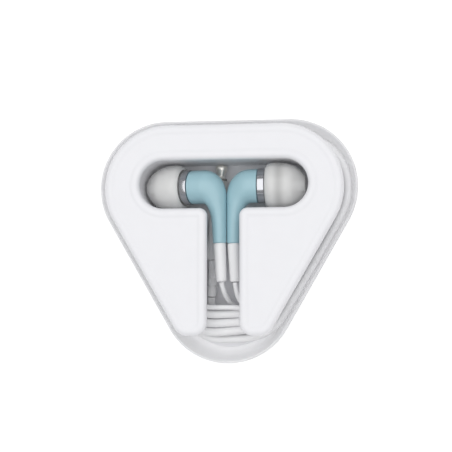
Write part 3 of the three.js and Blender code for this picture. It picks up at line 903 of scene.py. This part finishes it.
def make_finish(
    name, color, roughness, grain, mottle, bump, metallic=0.0, glow=0.0, clear=0.0, painted_shade_band=None,
    sockets=None,
):
    material = bpy.data.materials.new(name)
    material.use_nodes = True
    tree = material.node_tree
    shader = tree.nodes["Principled BSDF"]
    place = tree.nodes.new("ShaderNodeTexCoord").outputs["Object"]

    def noise(size, detail):
        node = tree.nodes.new("ShaderNodeTexNoise")
        node.inputs["Scale"].default_value = 1 / (size * MM)
        node.inputs["Detail"].default_value = detail
        tree.links.new(place, node.inputs["Vector"])
        return node.outputs["Fac"]

    def ranged(source, low, high):
        node = tree.nodes.new("ShaderNodeMapRange")
        node.inputs["To Min"].default_value = low
        node.inputs["To Max"].default_value = high
        tree.links.new(source, node.inputs["Value"])
        return node.outputs["Result"]

    base = linear(color)
    mix = tree.nodes.new("ShaderNodeMix")
    mix.data_type = "RGBA"
    mix.inputs["A"].default_value = (*(c * (1 - mottle) for c in base), 1)
    mix.inputs["B"].default_value = (*(min(1.0, c * (1 + mottle)) for c in base), 1)
    tree.links.new(noise(grain * 4, 3), mix.inputs["Factor"])
    colour = mix.outputs["Result"]
    # Painted shade: a darker band round one X, for the shadow at the end of the tip's collar.
    if painted_shade_band:
        colour = painted_shade(tree, place, colour, *painted_shade_band)
    tree.links.new(colour, shader.inputs["Base Color"])
    tree.links.new(
        ranged(noise(grain, 4), roughness * 0.9, roughness * 1.1), shader.inputs["Roughness"]
    )
    relief = tree.nodes.new("ShaderNodeBump")
    relief.inputs["Strength"].default_value = 0.5
    relief.inputs["Distance"].default_value = bump * MM
    tree.links.new(noise(grain * 0.35, 2), relief.inputs["Height"])
    tree.links.new(relief.outputs["Normal"], shader.inputs["Normal"])
    shader.inputs["Metallic"].default_value = metallic
    for socket, value in (sockets or {}).items():
        shader.inputs[socket].default_value = value
    shown_by = shader.outputs["BSDF"]
    for share, kind in ((glow, "ShaderNodeBsdfTranslucent"), (clear, "ShaderNodeBsdfTransparent")):
        if share:
            other = tree.nodes.new(kind)
            if kind.endswith("Translucent"):
                tree.links.new(colour, other.inputs["Color"])
            blend = tree.nodes.new("ShaderNodeMixShader")
            blend.inputs["Fac"].default_value = share
            tree.links.new(shown_by, blend.inputs[1])
            tree.links.new(other.outputs["BSDF"], blend.inputs[2])
            shown_by = blend.outputs["Shader"]
    tree.links.new(shown_by, tree.nodes["Material Output"].inputs["Surface"])
    return material


MATERIALS = {name: make_finish(name, **look) for name, look in FINISHES.items()}


def wear(piece, finish):
    """Gives a piece its material."""
    piece.data.materials.clear()
    piece.data.materials.append(MATERIALS[finish])


wear(dish, "frosted_dish")
for piece in (plate, hub, flange):
    wear(piece, "white_shell")
for piece in (main_cord, left_wound, right_wound, left_free, right_free):
    wear(piece, "cord_jacket")
wear(split, "white_rubber")
PLUG_FINISHES = {
    "tip_contact": "plug_metal", "front_insulator": "insulator", "ring_contact": "plug_metal",
    "rear_insulator": "insulator", "sleeve_contact": "plug_metal", "body": "white_rubber",
    "strain_relief": "white_rubber",
}
for name, piece in plug.items():
    wear(piece, PLUG_FINISHES[name])
BUD_FINISHES = {
    "housing": "blue_shell", "trim_ring": "bright_ring", "nozzle": "dark_plastic",
    "strain_relief": "white_rubber", "ear_tip": "silicone",
}
INSIDE_FINISHES = {
    "acoustic_mesh": "steel_mesh", "driver_frame": "dark_plastic", "driver_magnet": "magnet",
    "voice_coil": "copper_coil", "diaphragm": "film",
}
for side, bud in (("left", left_bud), ("right", right_bud)):
    for node, piece in bud.items():
        wear(piece, BUD_FINISHES[node])
    for node, finish in INSIDE_FINISHES.items():
        wear(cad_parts[f"{side}_{node}"], finish)


# ---- Floor and light -----------------------------------------------------------------------

FLOOR_REACH = 1.5  # metres, as are the lamp's place and size
FLOOR_Z = -2e-4
FLOOR_GLOW = 0.85
WORLD_STRENGTH = 0.42
SOFTBOX_PLACE = (0.0, 0.05, 0.6)
SOFTBOX_SIZE = (0.9, 0.9)
SOFTBOX_POWER = 3.5


def make_floor():
    mesh = bpy.data.meshes.new("floor")
    corners = ((-1, -1), (1, -1), (1, 1), (-1, 1))
    mesh.from_pydata(
        [(x * FLOOR_REACH, y * FLOOR_REACH, FLOOR_Z) for x, y in corners], [], [(0, 1, 2, 3)]
    )
    floor = bpy.data.objects.new("floor", mesh)
    bpy.context.scene.collection.objects.link(floor)
    material = bpy.data.materials.new("floor")
    material.use_nodes = True
    shader = material.node_tree.nodes["Principled BSDF"]
    shader.inputs["Base Color"].default_value = (0.25, 0.25, 0.25, 1)
    shader.inputs["Roughness"].default_value = 0.9
    shader.inputs["Specular IOR Level"].default_value = 0.0
    shader.inputs["Emission Color"].default_value = (1, 1, 1, 1)
    shader.inputs["Emission Strength"].default_value = FLOOR_GLOW
    mesh.materials.append(material)


def make_softbox(name, place, size, power):
    data = bpy.data.lights.new(name, "AREA")
    data.shape = "RECTANGLE"
    data.size, data.size_y = size
    data.energy = power
    lamp = bpy.data.objects.new(name, data)
    bpy.context.scene.collection.objects.link(lamp)
    place = Vector(place)
    aim = place.to_track_quat("Z", "Y").to_matrix().to_4x4()
    lamp.matrix_world = Matrix.Translation(place) @ aim


def make_world(strength):
    world = bpy.data.worlds.new("studio")
    bpy.context.scene.world = world
    world.use_nodes = True
    background = world.node_tree.nodes["Background"]
    background.inputs["Color"].default_value = (0.985, 0.99, 1.0, 1)
    background.inputs["Strength"].default_value = strength


make_floor()
make_world(WORLD_STRENGTH)
make_softbox("overhead", SOFTBOX_PLACE, SOFTBOX_SIZE, SOFTBOX_POWER)
bpy.context.scene.view_settings.view_transform = "Standard"
